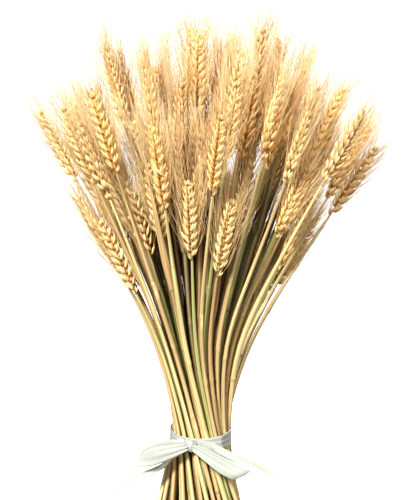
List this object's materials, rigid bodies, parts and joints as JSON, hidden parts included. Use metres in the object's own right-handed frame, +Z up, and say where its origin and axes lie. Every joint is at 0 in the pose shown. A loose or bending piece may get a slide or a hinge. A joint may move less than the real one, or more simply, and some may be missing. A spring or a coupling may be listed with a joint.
{
  "type": "tied wheat bunch",
  "caption": "Dried bearded wheat stalks in a spiral bunch, tied at the waist with a satin ribbon bow and standing on its flared cut ends.",
  "frame": {"origin": "on the table, under the middle of the bunch's box", "axes": "+Z up along the bunch, -Y towards the front with the bow, +X to the right seen from the front"},
  "size_m": [0.3403, 0.3202, 0.5046],
  "materials": {
    "Ripe_straw": "dry straw and chaff, dull with a faint sheen on the stems",
    "White_satin": "off-white satin"
  },
  "bodies": {
    "root": {"wheat_stalks_01": "Ripe_straw", "wheat_stalks_02": "Ripe_straw", "wheat_stalks_03": "Ripe_straw", "wheat_stalks_04": "Ripe_straw", "wheat_stalks_05": "Ripe_straw", "wheat_stalks_06": "Ripe_straw", "wheat_stalks_07": "Ripe_straw", "wheat_stalks_08": "Ripe_straw", "wheat_stalks_09": "Ripe_straw", "wheat_stalks_10": "Ripe_straw", "wheat_stalks_11": "Ripe_straw", "wheat_stalks_12": "Ripe_straw", "wheat_stalks_13": "Ripe_straw", "wheat_stalks_14": "Ripe_straw", "wheat_stalks_15": "Ripe_straw", "wheat_stalks_16": "Ripe_straw", "wheat_stalks_17": "Ripe_straw", "wheat_stalks_18": "Ripe_straw", "wheat_stalks_19": "Ripe_straw", "wheat_stalks_20": "Ripe_straw", "wheat_stalks_21": "Ripe_straw", "wheat_stalks_22": "Ripe_straw", "wheat_stalks_23": "Ripe_straw", "wheat_stalks_24": "Ripe_straw", "wheat_stalks_25": "Ripe_straw", "wheat_stalks_26": "Ripe_straw", "wheat_stalks_27": "Ripe_straw", "wheat_stalks_28": "Ripe_straw", "wheat_stalks_29": "Ripe_straw", "wheat_stalks_30": "Ripe_straw", "wheat_stalks_31": "Ripe_straw", "wheat_stalks_32": "Ripe_straw", "wheat_stalks_33": "Ripe_straw", "wheat_stalks_34": "Ripe_straw", "wheat_stalks_35": "Ripe_straw", "wheat_stalks_36": "Ripe_straw", "wheat_stalks_37": "Ripe_straw", "wheat_stalks_38": "Ripe_straw", "wheat_stalks_39": "Ripe_straw", "wheat_stalks_40": "Ripe_straw", "wheat_stalks_41": "Ripe_straw", "wheat_stalks_42": "Ripe_straw", "wheat_stalks_43": "Ripe_straw", "wheat_stalks_44": "Ripe_straw", "wheat_stalks_45": "Ripe_straw", "satin_ribbon": "White_satin"}
  },
  "joints": []
}
